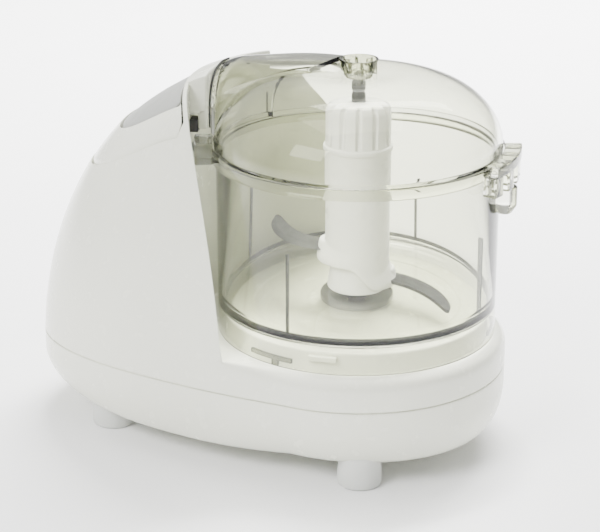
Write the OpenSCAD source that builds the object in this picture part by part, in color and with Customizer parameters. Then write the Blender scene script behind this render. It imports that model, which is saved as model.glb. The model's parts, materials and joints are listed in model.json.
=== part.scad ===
// Compact food processor: a motor in the rear tower drives the bowl spindle through a belt.
// Millimetres. +Z is up, +X points to the bowl end, and the origin lies on the surface that
// the feet stand on, under the middle of the object's length and width.

/* [Body outline] */
// Distance from the bowl axis to the rearmost point of the body
rear_reach = 159.8; // [156:0.2:164]
// Half of the body's greatest width
half_w = 73.8; // [72:0.2:76]
// Radius of the body's front, about the bowl axis
front_r = 70; // [69:0.2:71]
// Where the body is widest, behind the bowl axis
wide_back = 50; // [45:1:55]
// Squareness of the body's rear outline, 2 is an ellipse
rear_power = 2.87; // [2.6:0.05:3.1]

/* [Body heights] */
// Height of the flat underside above the ground
under_z = 10.2; // [9:0.2:12]
// Height of the seam between the base cover and the upper housing
seam_z = 39; // [38:0.5:40]
// Height of the deck that the bowl stands on
deck_z = 54.5; // [54:0.1:55]
// Height of the tower's crown
tower_z = 175.7; // [174:0.1:177]
// Wall thickness of the two body shells
wall = 2.2; // [1.8:0.1:2.2]
// Radius of the well that the bowl stands in
well_r = 77.7; // [77:0.1:78]

/* [Bowl and lid] */
// Height of the bowl's inner floor
floor_z = 70.4; // [70:0.1:71]
// Height of the bowl's upper edge
rim_z = 140.8; // [140:0.1:141.5]
// Outer radius of the bowl
bowl_r = 65; // [64.5:0.1:65]
// Wall thickness of the clear bowl and lid
clear_t = 2; // [1.8:0.1:2.2]
// Outer radius of the lid's rim
lid_r = 67.2; // [67:0.1:67.4]
// Height of the plain dome's crown
dome_z = 176.5; // [176:0.5:178]
// Height of the feed cup's rim, the highest point of the object
cup_z = 182.5; // [182:0.5:184]
// Outer radius of the lid's front tab
tab_r = 74.6; // [74:0.1:75]

/* [Blade] */
// Outer radius of the blade hub
hub_r = 15.25; // [15:0.05:15.5]
// Height of the hub cap's top
hub_z = 163; // [161:0.5:165]
// Radius that the blade tips reach
blade_r = 53.5; // [50:0.5:56]
// Thickness of the steel blades
blade_t = 1.6; // [1.2:0.1:2]

/* [Drive] */
// Distance from the bowl axis back to the motor shaft
motor_back = 108.5; // [108:0.1:109]
// Belt running radius on the large pulley
driven_r = 28; // [26:1:30]
// Belt running radius on the motor pulley
driver_r = 7; // [6:0.5:8]
// Radius of the motor shaft
shaft_r = 2.5; // [2:0.5:2.5]
// Radius of the bowl spindle
spindle_r = 4; // [3.5:0.5:4]

/* [Feet] */
// Radius of a foot
foot_r = 10.2; // [9:0.2:11]
// Front feet, ahead of the bowl axis
foot_front = 29; // [25:1:32]
// Rear feet, behind the bowl axis
foot_rear = 106; // [102:1:108]
// Half spacing of the front feet
foot_front_y = 48; // [44:1:50]
// Half spacing of the rear feet
foot_rear_y = 50; // [46:1:52]
// Depth of the feet's soles below the plane that all heights are measured from
sole = 1; // [0.5:0.5:2]

/* [Controls] */
// Travel of each speed button
press = 2.5; // [2:0.1:2.5]
// Sideways gap round each button
button_gap = 0.4; // [0.3:0.1:0.6]

/* [Hidden] */
$fn = 96;

white = [0.93, 0.93, 0.90];
foot_white = [0.86, 0.87, 0.84];
clear = [0.80, 0.82, 0.76, 0.4];
steel = [0.72, 0.72, 0.72];
grey = [0.80, 0.80, 0.77];
copper = [0.72, 0.43, 0.22];
iron = [0.45, 0.45, 0.47];
brass = [0.80, 0.66, 0.32];
black = [0.12, 0.12, 0.13];

// The longitudinal place of the bowl axis that centres the object's length on the origin
bowl_x = (rear_reach - tab_r) / 2;
eps = 0.01;

// --- Body shells -------------------------------------------------------------------------
// Tower taper: how fast the rear end and the sides draw in towards the crown
crown_x = -51.5;
rear_taper = [2.08, 1.83];
side_taper = [1.72, 4.34];
crown_power = 1.9;
crown_s = 0.999;
// Radius of the deck's rounded outer edge
lip_r = 4.5;
lip_z = deck_z - lip_r;
// Rounding of the base cover: height of the round and its depth at front, sides and rear
round_z = 19;
round_front = 8.1;
round_side = 7;
round_rear = 35;
round_power = 1.9;

function taper(s, p) = pow(max(0, 1 - pow(s, p[0])), 1 / p[1]);

// Half-width of the body's side between its widest place and the front arc
function side_w(x, half, front) =
    half - (half - front * half / half_w) * pow((x + wide_back) / wide_back, 2);

// One closed outline, counter-clockwise, about the bowl axis: front arc, side, rear, side
function outline(front, half, rear, widest, power) = concat(
    [for (a = [-88 : 8 : 88]) [front * cos(a), front * sin(a) * half / half_w]],
    [for (x = [-12, -30]) [x, side_w(x, half, front)]],
    [for (t = [90 : -7.5 : -90])
        [widest - (widest - rear) * pow(cos(t), 2 / power),
         half * sign(t) * pow(abs(sin(t)), 2 / power)]],
    [for (x = [-30, -12]) [x, -side_w(x, half, front)]]);

function lift(ring, z) = [for (p = ring) [p[0], p[1], z]];

// How far the deck's rounded edge draws in at a height
function lip(z) = z <= lip_z ? 0 : z >= deck_z ? lip_r : lip_r - sqrt(lip_r ^ 2 - (z - lip_z) ^ 2);

// Tower outline at the share s of the height from the seam to the crown
function tower_ring(s, inset, z) = let (
    half = (half_w - inset) * taper(s, side_taper),
    rear = crown_x + (crown_x + rear_reach - inset) * -taper(s, rear_taper),
    widest = -wide_back + (crown_x + wide_back) * s ^ 2,
    power = rear_power + (crown_power - rear_power) * s)
    lift(outline(front_r - inset - lip(z), half, rear, widest, power), z);

tower_levels = concat(
    [seam_z],
    [for (a = [0 : 30 : 90]) lip_z + lip_r * sin(a)],
    [for (k = [1 : 12]) deck_z + (seam_z + crown_s * (tower_z - seam_z) - deck_z) * sin(7.5 * k)]);

// Solid between outlines that all have the same number of points, listed upwards
module loft(rings) {
    n = len(rings[0]);
    top = len(rings) - 1;
    polyhedron(
        points = [for (r = rings) each r],
        faces = concat(
            [[for (i = [0 : n - 1]) i]],
            [for (k = [0 : top - 1]) for (i = [0 : n - 1])
                [k * n + i, (k + 1) * n + i, (k + 1) * n + (i + 1) % n]],
            [for (k = [0 : top - 1]) for (i = [0 : n - 1])
                [k * n + i, (k + 1) * n + (i + 1) % n, k * n + (i + 1) % n]],
            [[for (i = [n - 1 : -1 : 0]) top * n + i]]));
}

// The tower with its surface drawn in by inset, reaching below the seam where it is a cutter
module tower(inset, below = 0) {
    span = tower_z - seam_z;
    squeeze = (span - inset) / span;
    loft([for (z = tower_levels) let (s = (z - seam_z) / span, zz = seam_z + s * span * squeeze)
        tower_ring(s, inset, z == seam_z ? seam_z - below : zz)]);
}

// The base cover's outside at the angle a of its rounding, 0 at its start and 90 underneath
function base_ring(a, inset) = let (
    draw = 1 - pow(cos(a), 2 / round_power),
    z = under_z + inset + round_z * (1 - pow(sin(a), 2 / round_power)))
    lift(outline(front_r - inset - round_front * draw, half_w - inset - round_side * draw,
        -rear_reach + inset + round_rear * draw, -wide_back, rear_power), z);

module base_form(inset, above = 0) {
    loft(concat(
        [for (a = [90 : -11.25 : 0]) base_ring(a, inset)],
        [lift(outline(front_r - inset, half_w - inset, -rear_reach + inset, -wide_back,
            rear_power), seam_z + above)]));
}

module at_bowl() {
    translate([bowl_x, 0, sole]) children();
}

module at_motor() {
    translate([bowl_x - motor_back, 0, sole]) children();
}

// Flat ring segment about the bowl axis
module sector(inner, outer, from, to) {
    reach = outer * 2;
    middle = (from + to) / 2;
    intersection() {
        difference() {
            circle(r = outer);
            circle(r = inner);
        }
        polygon([[0, 0], reach * [cos(from), sin(from)], reach * [cos(middle), sin(middle)],
            reach * [cos(to), sin(to)]]);
    }
}

module ring_piece(inner, outer, from, to, low, high) {
    translate([0, 0, low]) linear_extrude(high - low) sector(inner, outer, from, to);
}

module tube(outer, inner, low, high) {
    translate([0, 0, low]) difference() {
        cylinder(r = outer, h = high - low);
        translate([0, 0, -1]) cylinder(r = inner, h = high - low + 2);
    }
}

module rod(r, low, high) {
    translate([0, 0, low]) cylinder(r = r, h = high - low);
}

module both_sides() {
    children();
    mirror([0, 1, 0]) children();
}

// --- Screw places, about the bowl axis -----------------------------------------------------
housing_screw_at = [[48, 30], [-112, 34]];
chassis_screw_at = [[24, 30], [-62, 30]];
boss_r = 4.5;
boss_z = 33;
screw_r = 1.5;
head_r = 3;
head_z = 20;
chassis_z = 36;
chassis_t = 2.6;
stem_r = 3;
// how far a foot's barb sits above the inner floor, clear of the rounded corner
stem_up = 3;
gland_y = 30;
gland_z = 32;
gland_r = 4.6;

// --- Nose, lug window and buttons ------------------------------------------------------------
nose_r = 69.8;
nose_half = 24;
nose_z = 154.5;
prong_z = 147;
prong_t = 4;
prong_half = 7;
window = [205, 224, 135, 152];
pad_long = [50, 72];
pad_half = [44.5, 54.3];
pad_start = [-67, -62];
pad_power = [2.8, 2.6];
pad_front_r = 80.6;
pad_sink = 1.8;
pad_t = 2.4;

// Plan outline of a speed button, grown by m all round: 0 is high speed, 1 is low speed
module pad_plan(i, m) {
    difference() {
        polygon(concat(
            [for (t = [0 : 6 : 180])
                [pad_start[i] - (pad_long[i] + m) * pow(sin(t), 2 / pad_power[i]),
                 (pad_half[i] + m) * sign(cos(t)) * pow(abs(cos(t)), 2 / pad_power[i])]],
            [[0, -pad_half[i] - m], [0, pad_half[i] + m]]));
        circle(r = pad_front_r - m);
    }
}

module nose_keep() {
    ring_piece(nose_r, well_r + 1, 180 - nose_half, 180 + nose_half, nose_z, tower_z + 1);
    for (a = [180 - nose_half, 180 + nose_half - prong_half])
        ring_piece(nose_r, nose_r + prong_t, a, a + prong_half, prong_z, nose_z + 1);
}

module upper_housing() {
    color(white) at_bowl() {
        difference() {
            tower(0);
            difference() {
                tower(wall, 1);
                rod(well_r + wall, deck_z - wall, tower_z + 1);
            }
            difference() {
                rod(well_r, deck_z, tower_z + 1);
                nose_keep();
            }
            ring_piece(well_r - 1, well_r + wall + 1, window[0], window[1], window[2], window[3]);
            translate([0, 0, deck_z]) linear_extrude(tower_z) pad_plan(1, button_gap);
            rod(11.4, deck_z - wall - 1, deck_z + 1);
        }
        both_sides() {
            for (p = chassis_screw_at)
                translate([p[0], p[1], 0]) tube(boss_r, screw_r, chassis_z + chassis_t,
                    deck_z - wall + eps);
            translate([housing_screw_at[0][0], housing_screw_at[0][1], 0])
                tube(boss_r, screw_r, boss_z, deck_z - wall + eps);
            translate([housing_screw_at[1][0], housing_screw_at[1][1], 0])
                tube(boss_r, screw_r, boss_z, seam_z + 20);
            // web that ties the rear screw boss to the side wall
            translate([housing_screw_at[1][0] - 1, housing_screw_at[1][1] + boss_r - 1, seam_z])
                cube([2, half_w - 7.8 - housing_screw_at[1][1] - boss_r + 1, 18]);
        }
    }
}

module base_cover() {
    color(white) at_bowl() difference() {
        union() {
            difference() {
                base_form(0);
                base_form(wall, 1);
            }
            both_sides() for (p = housing_screw_at)
                translate([p[0], p[1], 0]) rod(boss_r, under_z + wall / 2, boss_z - 0.2);
        }
        both_sides() {
            for (p = housing_screw_at) translate([p[0], p[1], 0]) {
                rod(screw_r + 0.2, under_z - 1, boss_z + 1);
                rod(head_r + 0.3, under_z - 1, head_z);
            }
            translate([foot_front, foot_front_y, 0]) rod(stem_r, under_z - 1, under_z + wall + stem_up + 1);
            translate([-foot_rear, foot_rear_y, 0]) rod(stem_r, under_z - 1, under_z + wall + stem_up + 1);
        }
        // cooling slots below the motor
        for (k = [-3 : 3])
            translate([-motor_back + k * 5 - 1, -16, under_z - 1]) cube([2, 32, wall + 2]);
        translate([-rear_reach - 5, gland_y, gland_z]) rotate([0, 90, 0]) cylinder(r = gland_r, h = 20);
    }
}

// A pushed-in foot whose top follows the underside
module foot(x, y) {
    bulb = stem_r + 0.8;
    color(foot_white) at_bowl() {
        difference() {
            translate([x, y, 0]) rotate_extrude() polygon(concat(
                [[0, -sole], [foot_r - 3, -sole]],
                [for (a = [-60 : 30 : 0]) [foot_r - 3 + 3 * cos(a), 3 - sole + 3 * sin(a)]],
                [[foot_r, under_z + 4], [0, under_z + 4]]));
            base_form(0);
        }
        translate([x, y, 0]) {
            rod(stem_r, under_z - 1, under_z + wall + stem_up);
            translate([0, 0, under_z + wall + stem_up]) cylinder(r1 = bulb, r2 = stem_r - 1, h = 3);
        }
    }
}

module foot_front_left() {
    foot(foot_front, foot_front_y);
}

module foot_front_right() {
    foot(foot_front, -foot_front_y);
}

module foot_rear_left() {
    foot(-foot_rear, foot_rear_y);
}

module foot_rear_right() {
    foot(-foot_rear, -foot_rear_y);
}

// --- Bowl seat and spindle bearings ------------------------------------------------------------
seat_r = 60;
seat_z = 63.9;
bush_r = 7;
bush_gap = 0.05;

module bowl_seat() {
    color(white) at_bowl() {
        difference() {
            union() {
                rod(seat_r, deck_z, seat_z);
                rod(11, deck_z - 8, deck_z + 1);
                for (a = [45 : 120 : 285])
                    ring_piece(seat_r - 1, seat_r + 2.4, a - 6, a + 6, 59.8, 62.2);
            }
            tube(seat_r - wall, 11, deck_z - 1, seat_z - wall);
            rod(bush_r, deck_z - 9, seat_z + 1);
        }
    }
}

module spindle_collar() {
    color(steel) at_bowl() rotate_extrude() polygon([[5, seat_z], [15.4, seat_z], [17.2, seat_z + 1.4],
        [17.2, seat_z + 3.4], [16.6, seat_z + 4], [15.6, seat_z + 3.6], [13.4, seat_z + 1.4],
        [5, seat_z + 1.4]]);
}

module upper_bush() {
    color(brass) at_bowl() tube(bush_r, spindle_r + bush_gap, deck_z, seat_z - 0.4);
}

module lower_bush() {
    color(brass) at_bowl() {
        tube(bush_r, spindle_r + bush_gap, chassis_z, chassis_z + 6);
        tube(bush_r + 2, spindle_r + bush_gap, chassis_z - 1.4, chassis_z);
    }
}

module chassis_plate() {
    color(iron) at_bowl() difference() {
        translate([0, 0, chassis_z]) linear_extrude(chassis_t) {
            translate([-70, -36]) square([104, 72]);
            translate([-motor_back - 31, -27]) square([70, 54]);
        }
        rod(bush_r, chassis_z - 1, chassis_z + 10);
        translate([-motor_back, 0, 0]) rod(7, chassis_z - 1, chassis_z + 10);
        both_sides() for (p = chassis_screw_at)
            translate([p[0], p[1], 0]) rod(screw_r + 0.2, chassis_z - 1, chassis_z + 10);
        for (x = [-bolt_x, bolt_x]) for (y = [-bolt_y, bolt_y])
            translate([x - motor_back, y, 0]) rod(bolt_r, chassis_z - 1, chassis_z + 10);
    }
}

// Pan-head screw pointing up, its head resting at a height
module screw(z, long) {
    rod(screw_r, z - eps, z + long);
    difference() {
        translate([0, 0, z - 2.2]) cylinder(r1 = head_r - 0.6, r2 = head_r, h = 2.2);
        for (a = [0, 90]) rotate(a) translate([-2, -0.4, z - 3]) cube([4, 0.8, 1.8]);
    }
}

module chassis_screws() {
    color(steel) at_bowl() both_sides() for (p = chassis_screw_at)
        translate([p[0], p[1], 0]) screw(chassis_z, 12);
}

module housing_screws() {
    color(steel) at_bowl() both_sides() for (p = housing_screw_at)
        translate([p[0], p[1], 0]) screw(head_z, 26);
}

// --- Motor -----------------------------------------------------------------------------------
bolt_x = 22.5;
bolt_y = 18;
stack_x = 26;
plate_x = 27;
bolt_r = 1.6;
stack_low = 60;
stack_high = 94;
bore_r = 16;
core_r = 15.3;
slots = 10;
bearing_r = 6;
low_bracket_z = chassis_z + chassis_t;
top_bracket_z = 110;
brush_z = 104;
pulley_low = 20;
pulley_high = 31;

module bolt_places() {
    for (x = [-bolt_x, bolt_x]) for (y = [-bolt_y, bolt_y]) translate([x, y, 0]) children();
}

module lower_bracket() {
    color(iron) at_motor() {
        difference() {
            union() {
                translate([-plate_x, -25, low_bracket_z]) cube([2 * plate_x, 50, 3]);
                rod(8.5, low_bracket_z, low_bracket_z + 7);
            }
            rod(bearing_r, low_bracket_z - 1, low_bracket_z + 8);
            bolt_places() rod(bolt_r, low_bracket_z - 1, low_bracket_z + 8);
        }
        bolt_places() tube(3.5, bolt_r, low_bracket_z + 3 - eps, stack_low);
    }
}

module upper_bracket() {
    color(black) at_motor() {
        difference() {
            union() {
                translate([-plate_x, -23, top_bracket_z]) cube([2 * plate_x, 46, 3]);
                rod(8.5, top_bracket_z, top_bracket_z + 7);
            }
            rod(bearing_r, top_bracket_z - 1, top_bracket_z + 8);
            bolt_places() rod(bolt_r, top_bracket_z - 1, top_bracket_z + 8);
        }
        bolt_places() tube(3.5, bolt_r, stack_high, top_bracket_z + eps);
    }
}

module lower_bearing() {
    color(brass) at_motor() tube(bearing_r, shaft_r + bush_gap, low_bracket_z, low_bracket_z + 7);
}

module upper_bearing() {
    color(brass) at_motor() tube(bearing_r, shaft_r + bush_gap, top_bracket_z, top_bracket_z + 7);
}

module motor_bolts() {
    color(steel) at_motor() bolt_places() {
        rod(bolt_r, chassis_z - 0.5, top_bracket_z + 3);
        rod(3, top_bracket_z + 3, top_bracket_z + 5.4);
        rod(3, chassis_z - 2.4, chassis_z);
    }
}

// Laminated stack with two poles and a window on each side of each pole
module stator_core() {
    color(iron) at_motor() translate([0, 0, stack_low]) linear_extrude(stack_high - stack_low) difference() {
        translate([-stack_x, -24]) square([2 * stack_x, 48]);
        circle(r = bore_r);
        for (x = [-20, 12]) for (y = [-21, 14.5]) translate([x, y]) square([8, 6.5]);
        for (x = [-bolt_x, bolt_x]) for (y = [-bolt_y, bolt_y]) translate([x, y]) circle(r = bolt_r);
    }
}

module field_windings() {
    gap = 0.3;
    color(copper) at_motor() both_sides() difference() {
        translate([-19.7, 14.8, stack_low - 3.5]) cube([39.4, 5.9, stack_high - stack_low + 7]);
        translate([-12 - gap, 14, stack_low - gap]) cube([24 + 2 * gap, 8, stack_high - stack_low + 2 * gap]);
        for (x = [-bolt_x, bolt_x]) translate([x, bolt_y, 0]) rod(3.8, stack_low - 5, stack_high + 5);
    }
}

module brush_holders() {
    color(brass) at_motor() for (a = [90, 270]) rotate(a) difference() {
        translate([10, -4, brush_z - 4]) cube([16, 8, top_bracket_z - brush_z + 4]);
        translate([9, -2.6, brush_z - 2.6]) cube([18, 5.2, 5.2]);
    }
}

module carbon_brushes() {
    color(black) at_motor() for (a = [90, 270]) rotate(a)
        translate([8.3, -2.5, brush_z - 2.5]) cube([12, 5, 5]);
}

module armature_shaft() {
    color(steel) at_motor() rod(shaft_r, 18, 119.5);
}

module slot_places() {
    for (k = [0 : slots - 1]) rotate(k * 360 / slots) children();
}

module armature_core() {
    color(iron) at_motor() translate([0, 0, stack_low + 1]) linear_extrude(32) difference() {
        circle(r = core_r);
        circle(r = shaft_r);
        slot_places() translate([9, -1.2]) square([8, 2.4]);
    }
}

module armature_windings() {
    color(copper) at_motor() {
        tube(13, shaft_r + 0.5, stack_low - 3.5, stack_low + 1);
        tube(13, shaft_r + 0.5, stack_low + 33, stack_low + 37);
        slot_places() translate([9.2, -1, stack_low]) cube([3.6, 2, 34]);
    }
}

module commutator() {
    color(copper) at_motor() translate([0, 0, brush_z - 4]) linear_extrude(8) difference() {
        circle(r = 8);
        circle(r = shaft_r);
        slot_places() translate([7, -0.3]) square([2, 0.6]);
    }
}

module cooling_fan() {
    color(black) at_motor() difference() {
        union() {
            rod(5, 48, 55);
            rod(21, 48, 49.2);
            for (k = [0 : 8]) rotate(k * 40) translate([4, -0.7, 48]) cube([16.6, 1.4, 7]);
        }
        rod(shaft_r, 47, 56);
    }
}

// --- Pulleys and belt --------------------------------------------------------------------------
belt_t = 1.5;
belt_gap = 0.2;
belt_low = pulley_low + 1.5;
belt_high = pulley_high - 1.5;

// Flanged pulley with a flat running face
module pulley(run, bore, flange) {
    rotate_extrude() polygon([[bore, pulley_low], [run + flange, pulley_low],
        [run + flange, pulley_low + 1], [run, pulley_low + 1], [run, pulley_high - 1],
        [run + flange, pulley_high - 1], [run + flange, pulley_high], [bore, pulley_high]]);
}

module motor_pulley() {
    color(steel) at_motor() pulley(driver_r, shaft_r, 2);
}

module driven_pulley() {
    color(white) at_bowl() difference() {
        pulley(driven_r, spindle_r, 2);
        tube(driven_r - 3, 9, pulley_low - 1, pulley_low + 4);
        tube(driven_r - 3, 9, pulley_high - 4, pulley_high + 1);
        for (a = [0 : 60 : 300]) rotate(a) translate([17, 0, 0]) rod(5, pulley_low, pulley_high);
    }
}

// Area inside a taut loop round the two pulleys, its radii grown by m
module belt_area(m) {
    hull() {
        circle(r = driven_r + m);
        translate([-motor_back, 0]) circle(r = driver_r + m);
    }
}

module drive_belt() {
    color(black) at_bowl() translate([0, 0, belt_low]) linear_extrude(belt_high - belt_low) difference() {
        belt_area(belt_gap + belt_t);
        belt_area(belt_gap);
    }
}

// --- Bowl spindle ------------------------------------------------------------------------------
dog_low = 118.5;
dog_high = 126.5;
dog_r = 5;
shoulder_z = 122;

module drive_spindle() {
    color(steel) at_bowl() rod(spindle_r, 16, shoulder_z);
}

module circlip() {
    color(steel) at_bowl() difference() {
        tube(spindle_r + 1.6, spindle_r, pulley_high + 0.4, pulley_high + 1.4);
        translate([spindle_r - 2, -1.5, pulley_high]) cube([6, 3, 3]);
    }
}

module thrust_washer() {
    color(brass) at_bowl() tube(8, spindle_r, pulley_high + 1.8, pulley_high + 2.8);
}

module drive_dog() {
    color(steel) at_bowl() difference() {
        translate([0, 0, dog_low]) cylinder(r = dog_r, h = dog_high - dog_low, $fn = 6);
        rod(spindle_r, dog_low - 1, shoulder_z);
    }
}

// --- Bowl --------------------------------------------------------------------------------------
skirt_z = deck_z + 0.2;
chimney_r = 7.5;
chimney_bore = 5.5;
chimney_z = 118;
floor_t = 2.2;
rib_z = 108;
grip_angle = 16;

module bowl() {
    color(clear) at_bowl() difference() {
        union() {
            rotate_extrude() polygon([[chimney_bore, floor_z - floor_t], [bowl_r - clear_t, floor_z - floor_t],
                [bowl_r - clear_t, skirt_z], [bowl_r, skirt_z], [bowl_r, floor_z],
                [bowl_r + 0.2, rim_z], [bowl_r + 0.2 - clear_t, rim_z], [bowl_r - 0.4 - clear_t, floor_z],
                [chimney_r, floor_z], [chimney_r, chimney_z], [chimney_bore, chimney_z]]);
            for (a = [0 : 90 : 270]) rotate(a)
                translate([bowl_r - 3.9, -0.9, floor_z - 1]) cube([2.6, 1.8, rib_z - floor_z + 1]);
            for (a = [251, 11, 131]) {
                ring_piece(bowl_r - 4, bowl_r - 1, a, a + 21, 57, 59.2);
                ring_piece(bowl_r - 4, bowl_r - 1, a + 12, a + 14, skirt_z, 58);
            }
            rotate(grip_angle) translate([bowl_r + 3.2, 0, 119]) {
                cylinder(r = 5.6, h = 9);
                translate([0, 0, -4]) cylinder(r1 = 3, r2 = 5.6, h = 4);
            }
        }
        rod(bowl_r - 0.5 - clear_t, floor_z + 40, rim_z + 1);
    }
}

// --- Lid ---------------------------------------------------------------------------------------
lid_low = 136.3;
dome_low = 143.4;
dome_base_r = 66;
dome_taper = [1.93, 3.04];
hood_r = 68.9;
tab = [-6, 28];
lug = [206, 220];
lug_r = 74.5;
lug_low = 135.6;
tab_low = 130;
tab_high = 144;

// Outside of the dome, drawn in by m
function dome_curve(m) = [for (k = [0 : 12]) let (s = sin(7.5 * k))
    [(dome_base_r - m) * taper(s, dome_taper), dome_low + (dome_z - dome_low - m) * s]];

module dome(m) {
    rotate_extrude() polygon(concat([[0, dome_low - 1], [dome_base_r - m, dome_low - 1]], dome_curve(m)));
}

// Ridge that carries the tower's crown line forward onto the lid
module hood(m) {
    intersection() {
        hull() {
            translate([-72, 0, 0]) rotate([90, 0, 90]) linear_extrude(1) polygon([[-25 + m, dome_low - 2],
                [-24.2 + m, 156], [-21 + m, 167], [-13, 173 - m], [0, 174.6 - m], [13, 173 - m],
                [21 - m, 167], [24.2 - m, 156], [25 - m, dome_low - 2]]);
            translate([-9, 0, 0]) rotate([90, 0, 90]) linear_extrude(1) polygon([[-8 + m, 170],
                [-6 + m, 180 - m], [0, 182.3 - m], [6 - m, 180 - m], [8 - m, 170]]);
        }
        rod(hood_r - m, dome_low - 3, cup_z);
    }
}

module lid() {
    cup_low = hub_z + 10;
    color(clear) at_bowl() difference() {
        union() {
            rod(lid_r, lid_low, dome_low);
            dome(0);
            hood(0);
            translate([0, 0, cup_low]) cylinder(r1 = 6.2, r2 = 9.4, h = cup_z - cup_low);
            ring_piece(lid_r - 2, tab_r, tab[0], tab[1], tab_low, tab_high);
            ring_piece(lid_r - 2, lug_r, lug[0], lug[1], lug_low, tab_high);
        }
        rod(lid_r - 1.6, tab_low - 1, rim_z + 0.3);
        difference() {
            union() {
                dome(clear_t);
                hood(clear_t);
                rod(dome_base_r - clear_t, rim_z, dome_low);
            }
            translate([0, 0, cup_low]) cylinder(r1 = 6.2, r2 = 9.4, h = cup_z - cup_low);
        }
        translate([0, 0, cup_low + 1.6]) cylinder(r1 = 4.8, r2 = 7.9, h = cup_z - cup_low);
        ring_piece(lid_r + 0.6, tab_r - 1.8, tab[0] + 1.5, tab[1] - 1.5, tab_low - 1, tab_high - 2);
    }
}

// --- Blade assembly ------------------------------------------------------------------------------
hub_low = 72;
cap_low = 140;
socket_low = dog_low - 0.4;
socket_high = 128;
pin_r = 3.2;
upper_blade_z = 89.3;
lower_blade_z = 76.7;
root_angle = 27;
sweep = 37;
lower_tilt = 4;

module blade_hub() {
    color(white) at_bowl() difference() {
        union() {
            rod(hub_r, hub_low, cap_low);
            rod(hub_r + 0.8, hub_low, hub_low + 3);
            for (side = [[root_angle, lower_blade_z], [root_angle + 180, upper_blade_z]])
                rotate(side[0]) translate([12.5, 0, 0]) rod(6.2, side[1] - 4.5, side[1] + 4.5);
        }
        rod(chimney_r + 0.5, hub_low - 1, socket_low);
        translate([0, 0, socket_low - eps]) cylinder(r = dog_r + 0.3, h = socket_high - socket_low, $fn = 6);
        blade_slot(root_angle, lower_blade_z, lower_tilt);
        blade_slot(root_angle + 180, upper_blade_z, 0);
    }
}

module hub_cap() {
    color(white) at_bowl() difference() {
        union() {
            rod(hub_r + 0.75, cap_low, cap_low + 2.4);
            rotate_extrude() polygon(concat([[0, cap_low + 2], [hub_r - 0.4, cap_low + 2]],
                [for (a = [0 : 15 : 90]) [hub_r - 6.4 + 6 * cos(a), hub_z - 6 + 6 * sin(a)]], [[0, hub_z]]));
        }
        for (a = [0 : 30 : 330]) rotate(a) translate([hub_r, 0, 0]) rod(1.3, cap_low + 2.4, hub_z + 1);
        rod(pin_r, cap_low + 6, hub_z + 1);
    }
}

module hub_pin() {
    color(steel) at_bowl() {
        rod(pin_r, cap_low + 6, hub_z + 4);
        translate([0, 0, hub_z + 4]) cylinder(r1 = pin_r, r2 = pin_r - 0.6, h = 1.4);
        translate([0, 0, hub_z + 5.4]) cylinder(r1 = pin_r - 0.6, r2 = pin_r, h = 1.4);
        rod(pin_r, hub_z + 6.8, hub_z + 9.6);
    }
}

// Sickle-shaped plan of a blade: it trails round the axis as it reaches out
module blade_plan() {
    inner = 10.5;
    steps = 12;
    function reach(t) = inner + (blade_r - inner) * t;
    function trail(t) = -sweep * pow(t, 1.25);
    function half(t) = 6 * sqrt(max(0, 1 - pow(t, 3)));
    function edge(t, side) = let (a = trail(t) + side * half(t) / reach(t) * 180 / PI)
        reach(t) * [cos(a), sin(a)];
    polygon(concat([for (k = [0 : steps]) edge(k / steps, -1)],
        [for (k = [steps - 1 : -1 : 0]) edge(k / steps, 1)]));
}

module blade_solid(angle, z, tilt) {
    rotate(angle) translate([12, 0, z]) rotate([0, tilt, 0]) translate([-12, 0, -blade_t / 2])
        linear_extrude(blade_t) blade_plan();
}

// The slot moulded round a blade's root
module blade_slot(angle, z, tilt) {
    intersection() {
        blade_solid(angle, z, tilt);
        rod(25, 60, 110);
    }
}

module upper_blade() {
    color(steel) at_bowl() blade_solid(root_angle + 180, upper_blade_z, 0);
}

module lower_blade() {
    color(steel) at_bowl() blade_solid(root_angle, lower_blade_z, lower_tilt);
}

// --- Buttons, springs and switches ---------------------------------------------------------------
shelf_t = 2;
high_shelf_z = 141;
low_shelf_z = 121;
switch_long = 13;
switch_wide = 6.4;
switch_tall = 6;
high_x = -90;
low_x = -121;
spring_y = -9.5;
spring_r = 3;
wire_r = 0.45;
high_spring_top = 154;
low_spring_top = 134;

// Slice of the tower's skin inside a plan outline, on a switch post and a spring post
module button(sink, x, shelf, spring_top) {
    intersection() {
        tower(sink);
        union() {
            difference() {
                translate([0, 0, deck_z + 20]) linear_extrude(tower_z) children();
                tower(sink + pad_t);
            }
            translate([x, 0, 0]) rod(2.6, shelf + shelf_t + switch_tall + press + 0.4, tower_z);
            translate([x, spring_y, 0]) rod(spring_r + wire_r, spring_top, tower_z);
        }
    }
}

module high_speed_button() {
    color(grey) at_bowl() button(pad_sink, high_x, high_shelf_z, high_spring_top) pad_plan(0, 0);
}

module low_speed_button() {
    color(white) at_bowl() button(0, low_x, low_shelf_z, low_spring_top) difference() {
        pad_plan(1, 0);
        pad_plan(0, button_gap);
    }
}

// Stepped plastic shelf behind the well wall that carries both speed switches
module switch_bracket() {
    color(black) at_bowl() translate([0, 10, 0]) rotate([90, 0, 0]) linear_extrude(24) polygon([
        [-130, low_shelf_z], [-105, low_shelf_z], [-105, high_shelf_z], [-well_r - wall, high_shelf_z],
        [-well_r - wall, high_shelf_z + shelf_t], [-107, high_shelf_z + shelf_t],
        [-107, low_shelf_z + shelf_t], [-130, low_shelf_z + shelf_t]]);
}

// Small snap-action switch: case, terminals and a plunger, standing on a shelf
module snap_switch(x, y, z) {
    translate([x, y, z]) {
        translate([-switch_long / 2, -switch_wide / 2, 0]) cube([switch_long, switch_wide, switch_tall - 1]);
        rod(1.2, switch_tall - 1 - eps, switch_tall);
        for (k = [-1 : 1]) translate([k * 4 - 0.3, switch_wide / 2 - eps, 1]) cube([0.6, 3, 2]);
    }
}

module high_speed_switch() {
    color(black) at_bowl() snap_switch(high_x, 0, high_shelf_z + shelf_t);
}

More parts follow.
